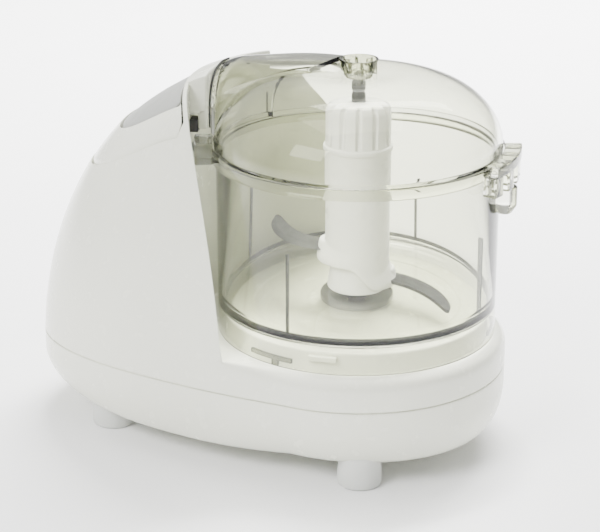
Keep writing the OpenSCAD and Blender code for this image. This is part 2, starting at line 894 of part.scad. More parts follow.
module low_speed_switch() {
    color(black) at_bowl() snap_switch(low_x, 0, low_shelf_z + shelf_t);
}

// Coil spring standing on z = low, as one swept wire
module coil(low, high) {
    turns = 5;
    steps = 14;
    sides = 6;
    count = turns * steps;
    rise = high - low - 2 * wire_r;
    points = [for (k = [0 : count]) let (a = 360 * k / steps, z = low + wire_r + rise * k / count)
        for (j = [0 : sides - 1]) let (b = 360 * j / sides)
            [(spring_r + wire_r * cos(b)) * cos(a), (spring_r + wire_r * cos(b)) * sin(a), z + wire_r * sin(b)]];
    polyhedron(points = points, faces = concat(
        [[for (j = [sides - 1 : -1 : 0]) j]],
        [for (k = [0 : count - 1]) for (j = [0 : sides - 1])
            [k * sides + j, k * sides + (j + 1) % sides, (k + 1) * sides + (j + 1) % sides]],
        [for (k = [0 : count - 1]) for (j = [0 : sides - 1])
            [k * sides + j, (k + 1) * sides + (j + 1) % sides, (k + 1) * sides + j]],
        [[for (j = [0 : sides - 1]) count * sides + j]]));
}

module high_speed_spring() {
    color(steel) at_bowl() translate([high_x, spring_y, 0])
        coil(high_shelf_z + shelf_t, high_spring_top - 0.05);
}

module low_speed_spring() {
    color(steel) at_bowl() translate([low_x, spring_y, 0])
        coil(low_shelf_z + shelf_t, low_spring_top - 0.05);
}

// --- Lid interlock -------------------------------------------------------------------------------
rod_y = -38;
rod_z = 140.5;
rod_r = 2.5;
rod_front = -66.2;
rod_back = -81.5;
switch_face = -84.5;

module interlock_rod() {
    color(grey) at_bowl() translate([rod_back, rod_y, rod_z]) rotate([0, 90, 0])
        cylinder(r = rod_r, h = rod_front - rod_back);
}

module rod_guide() {
    color(black) at_bowl() difference() {
        union() {
            translate([-79, rod_y - 5.5, rod_z - 8.6]) cube([14, 11, 12]);
            translate([-96, rod_y - 5.5, rod_z - 10.5]) cube([31, 11, 2]);
        }
        translate([-90, rod_y, rod_z]) rotate([0, 90, 0]) cylinder(r = rod_r + bush_gap, h = 30);
        rod(well_r + wall, rod_z - 12, rod_z + 10);
    }
}

module interlock_switch() {
    color(black) at_bowl() {
        translate([switch_face - 9, rod_y - 2.6, rod_z - 8.5]) cube([9, 6.4, 9.3]);
        translate([switch_face - eps, rod_y, rod_z]) rotate([0, 90, 0]) cylinder(r = 1.2, h = 0.4);
    }
}

// --- Supply side ---------------------------------------------------------------------------------
module terminal_block() {
    color(foot_white) at_bowl() difference() {
        translate([-90, 36, under_z + wall]) cube([22, 10, 11]);
        for (k = [0 : 2]) translate([-86 + 7 * k, 41, 0]) rod(2, under_z + wall + 5, under_z + wall + 12);
    }
}

module suppression_capacitor() {
    color(brass) at_bowl() translate([-60, -46, under_z + wall]) cube([18, 8, 14]);
}

// Round form on the gland's axis, from a distance behind the bowl axis
module gland_form(grow, from, long) {
    translate([0, gland_y, gland_z]) rotate([0, -90, 0]) translate([0, 0, from]) cylinder(r = gland_r - 0.1 + grow, h = long);
}

module cord_gland() {
    color(black) at_bowl() {
        difference() {
            gland_form(0, 146, 13.4);
            translate([0, gland_y, gland_z]) rotate([0, -90, 0]) translate([0, 0, 145]) cylinder(r = 3.2, h = 16);
        }
        difference() {
            gland_form(1.4, 153, 6.2);
            base_form(0);
            gland_form(-0.1, 150, 12);
        }
    }
}

upper_housing();
base_cover();
foot_front_left();
foot_front_right();
foot_rear_left();
foot_rear_right();
bowl_seat();
spindle_collar();
upper_bush();
lower_bush();
chassis_plate();
chassis_screws();
housing_screws();
lower_bracket();
upper_bracket();
lower_bearing();
upper_bearing();
motor_bolts();
stator_core();
field_windings();
brush_holders();
carbon_brushes();
drive_belt();
switch_bracket();
high_speed_switch();
low_speed_switch();
interlock_switch();
rod_guide();
terminal_block();
suppression_capacitor();
cord_gland();
high_speed_spring();
low_speed_spring();
armature_shaft();
armature_core();
armature_windings();
commutator();
cooling_fan();
motor_pulley();
drive_spindle();
driven_pulley();
circlip();
thrust_washer();
drive_dog();
bowl();
lid();
blade_hub();
hub_cap();
hub_pin();
upper_blade();
lower_blade();
high_speed_button();
low_speed_button();
interlock_rod();
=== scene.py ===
"""Compact food processor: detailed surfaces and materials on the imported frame.

Shapes are worked out in millimetres about the bowl axis, with z above the floor, and go into
the row frame, in metres, when a mesh is made.
"""
import json
import math

import bmesh
import bpy
import numpy as np
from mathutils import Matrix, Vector
from mathutils.geometry import delaunay_2d_cdt


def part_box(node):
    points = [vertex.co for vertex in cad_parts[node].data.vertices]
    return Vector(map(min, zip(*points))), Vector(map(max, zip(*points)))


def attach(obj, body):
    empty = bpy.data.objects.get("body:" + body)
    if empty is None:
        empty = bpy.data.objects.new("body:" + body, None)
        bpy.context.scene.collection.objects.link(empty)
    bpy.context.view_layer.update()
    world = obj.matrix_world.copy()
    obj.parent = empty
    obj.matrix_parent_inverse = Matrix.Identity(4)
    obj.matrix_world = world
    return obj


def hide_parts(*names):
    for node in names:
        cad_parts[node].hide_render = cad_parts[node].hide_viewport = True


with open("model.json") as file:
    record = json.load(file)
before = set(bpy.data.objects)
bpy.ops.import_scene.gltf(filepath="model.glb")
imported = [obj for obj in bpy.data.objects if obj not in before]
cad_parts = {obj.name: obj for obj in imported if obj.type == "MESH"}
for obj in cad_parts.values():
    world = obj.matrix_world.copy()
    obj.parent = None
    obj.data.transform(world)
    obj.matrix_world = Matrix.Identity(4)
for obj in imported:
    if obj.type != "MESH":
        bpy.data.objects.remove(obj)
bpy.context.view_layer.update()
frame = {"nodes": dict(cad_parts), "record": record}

MM = 0.001
# the bowl axis runs up through the middle of the spindle's collar
collar_low, collar_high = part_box("spindle_collar")
AXIS = np.array([(collar_low[0] + collar_high[0]) / 2, 0, 0])

# --- Driving dimensions, in millimetres ----------------------------------------------------
REAR = 159.8
HALF_W = 73.8
FRONT_R = 70.0
WIDE_BACK = 50.0
REAR_POWER, CROWN_POWER = 2.87, 1.9
CROWN_X, CROWN_S = -51.5, 0.999
UNDER_Z, SEAM_Z, DECK_Z, TOWER_Z = 11.2, 40.0, 55.5, 176.7
LIP_R = 6.0
WELL_R = 77.7
NOSE_R, NOSE_HALF, NOSE_Z = 69.8, 24.0, 155.5
FLOOR_Z, RIM_Z = 71.4, 141.8
BOWL_R, CLEAR_T = 65.0, 2.0
LID_R, DOME_R, DOME_LOW, DOME_Z, CUP_Z = 67.2, 66.0, 144.4, 177.5, 183.5
HUB_R, HUB_LOW, CAP_LOW, HUB_Z = 15.25, 73.0, 141.0, 164.0

# --- Materials -----------------------------------------------------------------------------


class Nodes:
    """Short helper for building a node material."""

    def __init__(self, name):
        self.material = bpy.data.materials.new(name)
        self.material.use_nodes = True
        self.tree = self.material.node_tree
        self.shader = self.tree.nodes["Principled BSDF"]
        self.coords = self.add("ShaderNodeTexCoord").outputs["Object"]

    def add(self, kind, **values):
        node = self.tree.nodes.new(kind)
        for key, value in values.items():
            if key in node.inputs:
                node.inputs[key].default_value = value
            else:
                setattr(node, key, value)
        return node

    def link(self, output, target, socket):
        self.tree.links.new(output, target.inputs[socket])

    def noise(self, scale, detail=3.0, stretch=None):
        node = self.add("ShaderNodeTexNoise", Scale=scale, Detail=detail)
        source = self.coords
        if stretch:
            mapping = self.add("ShaderNodeMapping")
            mapping.inputs["Scale"].default_value = stretch
            self.link(source, mapping, "Vector")
            source = mapping.outputs["Vector"]
        self.link(source, node, "Vector")
        return node.outputs["Fac"]

    def ramp(self, factor, low, high, start=0.35, end=0.65):
        """Turns a factor into a number or colour between low and high."""
        node = self.add("ShaderNodeValToRGB")
        stops = node.color_ramp.elements
        for stop, place, value in zip(stops, (start, end), (low, high)):
            stop.position = place
            stop.color = (*value, 1) if isinstance(value, tuple) else (value, value, value, 1)
        self.link(factor, node, "Fac")
        return node.outputs["Color"]

    def bump(self, height, strength, distance):
        node = self.add("ShaderNodeBump", Strength=strength, Distance=distance)
        self.link(height, node, "Height")
        self.link(node.outputs["Normal"], self.shader, "Normal")


def shade(colour, amount):
    return tuple(min(1.0, c * amount) for c in colour)


def moulded(name, colour, roughness, grain, subsurface=0.0, coat=0.0):
    """Moulded plastic or rubber: faint clouding, sheen that varies, and a fine skin texture."""
    n = Nodes(name)
    n.link(n.ramp(n.noise(14, 4), shade(colour, 0.975), shade(colour, 1.02)), n.shader, "Base Color")
    n.link(n.ramp(n.noise(160, 3), roughness * 0.85, roughness * 1.15), n.shader, "Roughness")
    n.bump(n.noise(1800, 2), grain, 0.0002)
    n.shader.inputs["Subsurface Weight"].default_value = subsurface
    n.shader.inputs["Subsurface Radius"].default_value = (0.004, 0.0038, 0.0034)
    n.shader.inputs["Coat Weight"].default_value = coat
    n.shader.inputs["Coat Roughness"].default_value = 0.06
    return n.material


def metal(name, colour, roughness, stretch=(1, 1, 40), scale=60):
    """Metal with fine tool marks that run across the stretched direction."""
    n = Nodes(name)
    marks = n.noise(scale, 4, stretch)
    n.shader.inputs["Metallic"].default_value = 1.0
    n.link(n.ramp(marks, shade(colour, 0.88), shade(colour, 1.06)), n.shader, "Base Color")
    n.link(n.ramp(n.noise(220, 3), roughness * 0.7, roughness * 1.3), n.shader, "Roughness")
    n.bump(marks, 0.12, 0.0001)
    return n.material


def clear(name, colour, roughness):
    """Clear moulded plastic with faint flow marks and wipe haze."""
    n = Nodes(name)
    n.shader.inputs["Transmission Weight"].default_value = 1.0
    n.shader.inputs["IOR"].default_value = 1.45
    n.link(n.ramp(n.noise(9, 3), shade(colour, 0.985), shade(colour, 1.01)), n.shader, "Base Color")
    n.link(n.ramp(n.noise(60, 4), roughness * 0.4, roughness * 1.6), n.shader, "Roughness")
    n.bump(n.noise(35, 2), 0.015, 0.001)
    return n.material


def wound(name, colour):
    """Varnished copper wire laid in even turns, darker between the turns as painted shade."""
    n = Nodes(name)
    wave = n.add("ShaderNodeTexWave", Scale=420, Distortion=1.5)
    n.link(n.coords, wave, "Vector")
    n.shader.inputs["Metallic"].default_value = 0.9
    # the wave's low bands darken the copper to about a third: painted shade in the grooves between turns
    n.link(n.ramp(wave.outputs["Fac"], shade(colour, 0.35), colour, 0.1, 0.6), n.shader, "Base Color")
    n.link(n.ramp(n.noise(90), 0.25, 0.4), n.shader, "Roughness")
    n.bump(wave.outputs["Fac"], 0.6, 0.0004)
    return n.material


def stacked(name, colour):
    """Edges of stacked steel laminations."""
    n = Nodes(name)
    wave = n.add("ShaderNodeTexWave", Scale=320, bands_direction="Z")
    n.link(n.coords, wave, "Vector")
    n.shader.inputs["Metallic"].default_value = 0.8
    n.link(n.ramp(wave.outputs["Fac"], shade(colour, 0.5), colour, 0.2, 0.7), n.shader, "Base Color")
    n.link(n.ramp(n.noise(120), 0.4, 0.6), n.shader, "Roughness")
    n.bump(wave.outputs["Fac"], 0.5, 0.0003)
    return n.material


MATERIALS = {
    "body_white": moulded("gloss_white", (0.75, 0.76, 0.655), 0.24, 0.05, 0.0, 0.12),
    "foot_white": moulded("foot_rubber", (0.62, 0.63, 0.60), 0.5, 0.3, 0.2),
    "clear_plastic": clear("clear_styrene", (0.85, 0.86, 0.75), 0.02),
    # clear plastic tinted nearly black: painted shade for the dark lines along the bowl's ribs and floor
    # edge
    "clear_painted_shade": clear("styrene_painted_shade", (0.10, 0.102, 0.095), 0.05),
    "clear_mid": clear("deep_styrene", (0.33, 0.335, 0.305), 0.05),
    "hub_white": moulded("hub_plastic", (0.95, 0.95, 0.92), 0.3, 0.05, 0.1),
    "button_grey": moulded("paddle_grey", (0.33, 0.335, 0.315), 0.42, 0.25),
    "blade_steel": metal("ground_steel", (0.105, 0.107, 0.103), 0.42, (6, 60, 6)),
    "bright_steel": metal("turned_steel", (0.12, 0.122, 0.12), 0.16),
    "plate_steel": metal("plated_steel", (0.48, 0.49, 0.50), 0.38, (1, 1, 1), 90),
    "laminations": stacked("lamination_stack", (0.26, 0.26, 0.27)),
    "copper_wire": wound("copper_winding", (0.72, 0.36, 0.17)),
    "brass": metal("plain_brass", (0.72, 0.56, 0.27), 0.3),
    "carbon": moulded("pressed_carbon", (0.03, 0.03, 0.032), 0.6, 0.5),
    "black_plastic": moulded("black_moulding", (0.035, 0.035, 0.038), 0.45, 0.3),
    "belt_rubber": moulded("belt_rubber", (0.02, 0.02, 0.02), 0.7, 0.6),
}

# --- Mesh helpers --------------------------------------------------------------------------
SHARP = math.radians(32)
# points this close are one point, and edges this short are dropped
WELD, SLIVER = 0.004, 0.003


def make_piece(name, bm, body, slot, nodes=(), sharp=SHARP, look=None):
    """Turns a bmesh in millimetres about the bowl axis into a finished piece.

    The piece takes its finish from a record slot. A look is another material in its place.
    """
    bmesh.ops.remove_doubles(bm, verts=bm.verts, dist=WELD)
    bmesh.ops.dissolve_degenerate(bm, edges=bm.edges, dist=SLIVER)
    bmesh.ops.recalc_face_normals(bm, faces=bm.faces)
    for face in bm.faces:
        face.smooth = True
    for edge in bm.edges:
        edge.smooth = len(edge.link_faces) != 2 or edge.calc_face_angle(0) < sharp
    for v in bm.verts:
        v.co = v.co * MM + Vector(AXIS)
    mesh = bpy.data.meshes.new(name)
    bm.to_mesh(mesh)
    bm.free()
    mesh.materials.append(MATERIALS[look or slot])
    obj = bpy.data.objects.new(name, mesh)
    bpy.context.scene.collection.objects.link(obj)
    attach(obj, body)
    if slot == "clear_plastic":
        obj.visible_shadow = False
    if nodes:
        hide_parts(*nodes)


def add_grid(bm, points, close_u=False, close_v=False):
    """Adds a sheet of quads through points[u][v], closed round u or v where asked."""
    points = np.asarray(points, float)
    nu, nv = points.shape[:2]
    verts = [[bm.verts.new(points[u, v]) for v in range(nv)] for u in range(nu)]
    for u in range(nu if close_u else nu - 1):
        for v in range(nv if close_v else nv - 1):
            a, b = (u + 1) % nu, (v + 1) % nv
            bm.faces.new((verts[u][v], verts[a][v], verts[a][b], verts[u][b]))
    return verts


def cap(bm, ring):
    bm.faces.new(ring)


def revolve(bm, profile, steps, centre=(0, 0)):
    """Turns an (r, z) profile once round a vertical axis."""
    angles = np.radians(np.linspace(0, 360, steps, endpoint=False))
    r, z = np.asarray(profile, float).T
    rows = [np.stack([centre[0] + r * math.cos(a), centre[1] + r * math.sin(a), z], 1) for a in angles]
    add_grid(bm, rows, close_u=True)


def rounded(points, radius, steps):
    """An (r, z) outline with every corner between its two ends rounded."""
    points = [np.array(p, float) for p in points]
    out = [points[0]]
    for before, corner, after in zip(points, points[1:], points[2:]):
        a, b = before - corner, after - corner
        la, lb = np.linalg.norm(a), np.linalg.norm(b)
        cut = min(radius, la * 0.45, lb * 0.45)
        p, q = corner + a / la * cut, corner + b / lb * cut
        for k in range(steps + 1):
            t = k / steps
            out.append((1 - t) ** 2 * p + 2 * t * (1 - t) * corner + t ** 2 * q)
    out.append(points[-1])
    return np.array(out)


def scratch(name, bm):
    """A scratch object in millimetres, for a boolean. It uses the bmesh up."""
    bmesh.ops.remove_doubles(bm, verts=bm.verts, dist=WELD)
    bmesh.ops.recalc_face_normals(bm, faces=bm.faces)
    mesh = bpy.data.meshes.new(name)
    bm.to_mesh(mesh)
    bm.free()
    obj = bpy.data.objects.new(name, mesh)
    bpy.context.scene.collection.objects.link(obj)
    return obj


def cut_out(base, tools):
    """Cuts every tool out of the base with an exact boolean. Returns a new bmesh."""
    target = scratch("target", base)
    cutters = [scratch("tool", tool) for tool in tools]
    for cutter in cutters:
        modifier = target.modifiers.new("cut", "BOOLEAN")
        modifier.operation = "DIFFERENCE"
        modifier.solver = "EXACT"
        modifier.object = cutter
    result = bmesh.new()
    result.from_object(target, bpy.context.evaluated_depsgraph_get())
    for obj in cutters + [target]:
        bpy.data.meshes.remove(obj.data)
    return result


def block(bm, low, high, radius, turn=0.0):
    """A box with rounded edges, turned about the bowl axis by turn degrees."""
    made = bmesh.ops.create_cube(bm, size=1)["verts"]
    low, high = np.array(low, float), np.array(high, float)
    for v in made:
        v.co = Vector((low + high) / 2 + np.array(v.co) * (high - low))
    # a dict keeps the edges in one order, where a set would not
    edges = list(dict.fromkeys(e for v in made for e in v.link_edges))
    made = bmesh.ops.bevel(bm, geom=edges, offset=radius, segments=3, affect="EDGES", profile=0.5)
    verts = {v for f in made["faces"] for v in f.verts}
    c, s = math.cos(math.radians(turn)), math.sin(math.radians(turn))
    for v in verts:
        v.co = Vector((c * v.co.x - s * v.co.y, s * v.co.x + c * v.co.y, v.co.z))


def arc_block(bm, inner, outer, start, end, low, high, radius):
    """A curved bar about the bowl axis with rounded edges."""
    section = rounded([(inner + radius, low), (outer, low), (outer, high), (inner, high), (inner, low),
                       (inner + radius, low)], radius, 4)[:-1]
    steps = max(4, int((end - start) / 1.5))
    edge = radius / outer * 180 / math.pi
    middle = section.mean(0)
    rows = []
    for angle, shrink in ([(start, 0.0), (start + edge * 0.3, 0.7)]
                          + [(a, 1.0) for a in np.linspace(start + edge, end - edge, steps)]
                          + [(end - edge * 0.3, 0.7), (end, 0.0)]):
        inset = radius * (1 - math.sqrt(max(0, 1 - (1 - shrink) ** 2)))
        size = np.abs(section - middle).max(0)
        scaled = middle + (section - middle) * (1 - inset / size)
        a = math.radians(angle)
        rows.append(np.stack([scaled[:, 0] * math.cos(a), scaled[:, 0] * math.sin(a), scaled[:, 1]], 1))
    verts = add_grid(bm, rows, close_v=True)
    cap(bm, verts[0])
    cap(bm, verts[-1])


# --- Body surface --------------------------------------------------------------------------


def power_curve(s, p, q):
    return np.maximum(0, 1 - np.power(s, p)) ** (1 / q)


def half_outline(front, half, rear, widest, power):
    """Points from the front round to the rear of one side of a level outline."""
    a = np.radians(np.linspace(0, 88, 45))
    arc = np.stack([front * np.cos(a), front * np.sin(a) * half / HALF_W], 1)
    x = np.linspace(0, -WIDE_BACK, 60)[1:-1]
    side = np.stack([x, half - (half - front * half / HALF_W) * ((x + WIDE_BACK) / WIDE_BACK) ** 2], 1)
    t = math.pi / 2 * (1 - np.linspace(0, 1, 90) ** 1.8)
    back = np.stack([widest - (widest - rear) * np.cos(t) ** (2 / power),
                     half * np.sin(t) ** (2 / power)], 1)
    return np.concatenate([arc, side, back])


def tower_level(z):
    """Half outline of the upper housing at height z."""
    s = CROWN_S * (z - SEAM_Z) / (TOWER_Z - SEAM_Z)
    half = HALF_W * power_curve(s, 1.72, 4.34)
    rear = CROWN_X - (CROWN_X + REAR) * power_curve(s, 2.08, 1.83)
    widest = -WIDE_BACK + (CROWN_X + WIDE_BACK) * s ** 2
    power = REAR_POWER + (CROWN_POWER - REAR_POWER) * s
    over = min(max(z - DECK_Z + LIP_R, 0), LIP_R)
    lip = LIP_R - math.sqrt(LIP_R ** 2 - over ** 2)
    return half_outline(FRONT_R - lip, half, rear, widest, power)


LEVELS = SEAM_Z + (TOWER_Z - SEAM_Z) * np.sin(np.linspace(0, math.pi / 2, 260))
DIRECTIONS = np.linspace(0, math.pi, 361)
REACH = []
for level in LEVELS:
    outline = tower_level(level)
    bearing = np.unwrap(np.arctan2(outline[:, 1], outline[:, 0]))
    order = np.argsort(bearing)
    REACH.append(np.interp(DIRECTIONS, bearing[order], np.hypot(*outline[order].T)))
REACH = np.array(REACH)


def reach_curve(angle):
    """Outer radius at each of LEVELS, in the direction of angle degrees."""
    a = abs((angle + 180) % 360 - 180)
    place = math.radians(a) / DIRECTIONS[1]
    i = min(int(place), len(DIRECTIONS) - 2)
    f = place - i
    return REACH[:, i] * (1 - f) + REACH[:, i + 1] * f


def tower_height(x, y):
    """Height of the tower's skin over a point."""
    curve = reach_curve(math.degrees(math.atan2(y, x)))
    return float(np.interp(-math.hypot(x, y), -curve, LEVELS))


def ease(count):
    """Shares of a run that crowd towards both of its ends."""
    return (1 - np.cos(np.linspace(0, math.pi, count + 1))) / 2


def soften(points, sigma):
    """Rounds the corners of a dense polyline. Returns its running length and its points."""
    seg = np.hypot(*np.diff(points, axis=0).T)
    keep = np.concatenate([[True], seg > 1e-6])
    points = points[keep]
    length = np.concatenate([[0], np.cumsum(np.hypot(*np.diff(points, axis=0).T))])
    step = 0.2
    pad = int(4 * sigma / step)
    s = np.arange(-pad, int(length[-1] / step) + pad + 2) * step
    held = np.clip(s, 0, length[-1])
    q = np.stack([np.interp(held, length, points[:, k]) for k in (0, 1)], 1)
    lead = (points[1] - points[0]) / length[1]
    tail = (points[-1] - points[-2]) / (length[-1] - length[-2])
    q += np.minimum(s, 0)[:, None] * lead + np.maximum(s - length[-1], 0)[:, None] * tail
    kernel = np.exp(-0.5 * (np.arange(-pad, pad + 1) * step / sigma) ** 2)
    kernel /= kernel.sum()
    soft = np.stack([np.convolve(q[:, k], kernel, "same") for k in (0, 1)], 1)
    return s, soft


SEAM_GAP, SEAM_IN = 0.35, 0.9
DECK_IN_R = 54.0
SOFTNESS = 1.05
# how many points each run of the housing's section gets
RUNS = (10, 26, 5, 14, 8, 54)


def housing_column(angle, wall_r):
    """Section of the upper housing in one direction: deck, well wall, brow, crown and outside."""
    curve = reach_curve(angle)
    deck_edge = min(WELL_R, float(np.interp(DECK_Z, LEVELS, curve)))

    def edge_z(radius):
        return max(DECK_Z, float(np.interp(-radius, -curve, LEVELS)))

    top_well, top_front = edge_z(WELL_R), edge_z(wall_r)
    brow = min(NOSE_Z, top_well)
    if deck_edge < WELL_R:
        top_well = top_front = brow = DECK_Z

    def outside(high, low, count):
        z = np.linspace(high, low, count)
        return np.stack([np.interp(z, LEVELS, curve), z], 1)

    runs = [
        np.array([[DECK_IN_R, DECK_Z], [deck_edge, DECK_Z]]),
        np.array([[deck_edge, DECK_Z], [deck_edge, brow]]),
        np.array([[deck_edge, brow], [min(wall_r, deck_edge), brow]]),
        np.array([[min(wall_r, deck_edge), brow], [min(wall_r, deck_edge), top_front]]),
        outside(top_front, top_well, 20),
        outside(top_well, SEAM_Z + SEAM_GAP, 400),
    ]
    marks = [0.0]
    for run in runs:
        marks.append(marks[-1] + float(np.hypot(*np.diff(run, axis=0).T).sum()))
    s, soft = soften(np.concatenate(runs), SOFTNESS)
    wanted = [0.0]
    for start, end, count in zip(marks, marks[1:], RUNS):
        wanted += list(start + (end - start) * ease(count)[1:])
    column = np.stack([np.interp(wanted, s, soft[:, k]) for k in (0, 1)], 1)
    inner = [(column[-1, 0] - SEAM_IN, SEAM_Z + SEAM_GAP), (column[-1, 0] - SEAM_IN, SEAM_Z - 3)]
    a = math.radians(angle)
    column = np.concatenate([column, inner])
    return np.stack([column[:, 0] * math.cos(a), column[:, 0] * math.sin(a), column[:, 1]], 1)


def nose_columns():
    """(direction, front radius) of every section, with the nose's rounded side edges."""
    edge = [(0.0, 1.0), (0.25, 0.45), (0.6, 0.12), (1.1, 0.0)]
    side = []
    for offset, back in edge:
        side.append((180 - NOSE_HALF + math.degrees(offset / NOSE_R), NOSE_R + back))
    middle = [(a, NOSE_R) for a in np.linspace(side[-1][0], 360 - side[-1][0], 36)[1:-1]]
    plain = [(a, WELL_R) for a in np.concatenate([np.arange(0, 96, 3.0),
                                                  np.arange(96, 180 - NOSE_HALF, 1.0),
                                                  [180 - NOSE_HALF]])]
    half = plain + side
    return half + middle + [(360 - a, r) for a, r in reversed(half[1:])]


# Speed-button outlines in plan: half length, half width, centre and squareness of each
PADS = {"high": (50, 44.5, -67, 2.8), "low": (72, 54.3, -62, 2.6)}
PAD_FRONT_R = 80.6
PAD_GAP = 0.9
PAD_SINK = 1.8
LOW_SINK = 0.6


def pad_outline(kind, grow, count=150):
    """Closed plan outline of a speed button, grown all round."""
    long, half, start, power = PADS[kind]
    t = np.linspace(0, math.pi, count)
    x = start - (long + grow) * np.sin(t) ** (2 / power)
    y = (half + grow) * np.sign(np.cos(t)) * np.abs(np.cos(t)) ** (2 / power)
    front = PAD_FRONT_R - grow
    keep = np.hypot(x, y) > front
    x, y = x[keep], y[keep]
    first, last = math.atan2(y[-1], x[-1]) % (2 * math.pi), math.atan2(y[0], x[0]) % (2 * math.pi)
    arc = np.linspace(first, last, 60)[1:-1]
    x = np.concatenate([x, front * np.cos(arc)])
    y = np.concatenate([y, front * np.sin(arc)])
    points = np.stack([x, y], 1)
    ring = np.concatenate([points, points[:1]])
    length = np.concatenate([[0], np.cumsum(np.hypot(*np.diff(ring, axis=0).T))])
    even = np.linspace(0, length[-1], 260, endpoint=False)
    return np.stack([np.interp(even, length, ring[:, k]) for k in (0, 1)], 1)


def inside(point, outline):
    """Whether a plan point lies in a closed outline."""
    x, y = outline.T
    x2, y2 = np.roll(outline, -1, 0).T
    crosses = (y > point[1]) != (y2 > point[1])
    with np.errstate(divide="ignore", invalid="ignore"):
        at = x + (point[1] - y) * (x2 - x) / (y2 - y)
    return bool(np.count_nonzero(crosses & (point[0] < at)) % 2)


def fill_between(bm, border, outline, height):
    """Triangles on the skin between a mesh border and a plan outline. Returns the outline's ring."""
    places = [(v.co.x, v.co.y) for v in border] + [tuple(p) for p in outline]
    nb, no = len(border), len(outline)
    edges = [(k, (k + 1) % nb) for k in range(nb)] + [(nb + k, nb + (k + 1) % no) for k in range(no)]
    flat, _, faces, *_ = delaunay_2d_cdt([Vector(p) for p in places], edges, [], 0, 1e-6)
    outer = np.array([(v.co.x, v.co.y) for v in border])
    ring = [bm.verts.new((x, y, height(x, y))) for x, y in outline]
    verts = list(border) + ring
    extra = {}
    for face in faces:
        middle = np.mean([flat[k] for k in face], 0)
        if inside(middle, outline) or not inside(middle, outer):
            continue
        corner = []
        for k in face:
            if k < len(verts):
                corner.append(verts[k])
            else:
                extra.setdefault(k, bm.verts.new((*flat[k], height(*flat[k]))))
                corner.append(extra[k])
        bm.faces.new(corner)
    return ring


def build_housing():
    bm = bmesh.new()
    columns = nose_columns()
    rows = [housing_column(a, r) for a, r in columns]
    verts = add_grid(bm, rows, close_u=True)
    # the opening for the two buttons is cleared, from a few points into the outside run on
    first_outer = 1 + sum(RUNS[:5]) + 4
    outline = pad_outline("low", PAD_GAP)
    margin = pad_outline("low", PAD_GAP + 1.4)
    doomed = [v for column in verts for v in column[first_outer:]
              if v.co.z > DECK_Z + 10 and v.co.x < -55 and inside(v.co, margin)]
    bmesh.ops.delete(bm, geom=doomed, context="VERTS")
    border_edges = [e for e in bm.edges if len(e.link_faces) == 1 and e.verts[0].co.z > DECK_Z + 10]
    border = [border_edges[0].verts[0], border_edges[0].verts[1]]
    links = {}
    for e in border_edges:
        for v in e.verts:
            links.setdefault(v, []).append(e)
    while True:
        here = border[-1]
        following = [e.other_vert(here) for e in links[here] if e.other_vert(here) is not border[-2]][0]
        if following is border[0]:
            break
        border.append(following)
    ring = fill_between(bm, border, pad_outline("low", PAD_GAP + 0.5), tower_height)
    last = ring
    for grow, drop in ((0.14, 0.12), (0.0, 0.5), (0.0, 7.0)):
        edge = pad_outline("low", PAD_GAP + grow)
        row = [bm.verts.new((x, y, tower_height(x, y) - drop)) for x, y in edge]
        for k in range(len(row)):
            j = (k + 1) % len(row)
            bm.faces.new((last[k], last[j], row[j], row[k]))
        last = row
    make_piece("housing_shell", bm, "power_unit", "body_white", ["upper_housing"], math.radians(50))


def build_prong():
    """The tongue at the near end of the tower's nose, with a black block behind it as painted shade in
    the slot.
    """
    bm = bmesh.new()
    arc_block(bm, NOSE_R, NOSE_R + 4, 197, 180 + NOSE_HALF, 148, NOSE_Z + 2, 0.9)
    make_piece("nose_prong", bm, "power_unit", "body_white")
    # the black block is painted shade: it stands for the dark inside of the slot
    bm = bmesh.new()
    arc_block(bm, NOSE_R + 4.2, WELL_R + 0.2, 199, 180 + NOSE_HALF + 0.4, 146.5, 152.5, 0.3)
    make_piece("slot_shade_block", bm, "power_unit", "black_plastic")


def build_gap_shade_strip():
    """A black strip along the gap between nose and lid, painted shade in the gap, thickest halfway up.
    """
    bm = bmesh.new()
    gap_r, half, low, rise, power = 69.4, 23.6, 147.5, 27.2, 2.6
    last = 39
    path = []
    for t in np.linspace(0.0, 1.0, last + 1):
        a = t * math.pi / 2
        y = -half * math.cos(a) ** (2 / power)
        z = low + rise * math.sin(a) ** (2 / power)
        path.append((-math.sqrt(gap_r ** 2 - y * y), y, z))
    rows = []
    for k, (x, y, z) in enumerate(path):
        before, after = np.array(path[max(k - 1, 0)]), np.array(path[min(k + 1, last)])
        along = (after - before) / np.linalg.norm(after - before)
        out = np.cross(along, (x, y, 0)) / math.hypot(x, y)
        size = 1.25 * math.sin(math.pi * (0.08 + 0.86 * k / last)) ** 0.5
        inward = np.array((x, y, 0)) / 69.5 * 0.38
        rows.append([np.array((x, y, z)) + out * size * math.cos(b) - inward * math.sin(b)
                     for b in np.linspace(0, 2 * math.pi, 8, endpoint=False)])
    ends = add_grid(bm, rows, close_v=True)
    cap(bm, ends[0])
    cap(bm, ends[-1])
    make_piece("gap_shade_strip", bm, "power_unit", "black_plastic")


# Height and squareness of the base cover's rounded edge, and how far it draws in on each side
EDGE_RISE, EDGE_POWER = 19, 1.9
FRONT_TUCK, SIDE_TUCK, REAR_TUCK = 8.1, 7, 35


def base_level(angle):
    """Height and half outline of the base cover at an angle of its rounded edge, 90 underneath."""
    a = math.radians(angle)
    draw = 1 - math.cos(a) ** (2 / EDGE_POWER)
    z = UNDER_Z + EDGE_RISE * (1 - math.sin(a) ** (2 / EDGE_POWER))
    return z, half_outline(FRONT_R - FRONT_TUCK * draw, HALF_W - SIDE_TUCK * draw,
                           -REAR + REAR_TUCK * draw, -WIDE_BACK, REAR_POWER)


def full_ring(half, z):
    """A level ring of points from the outline of one side and its mirror image."""
    both = np.concatenate([half, (half * [1, -1])[-2:0:-1]])
    return np.column_stack([both, np.full(len(both), z)])


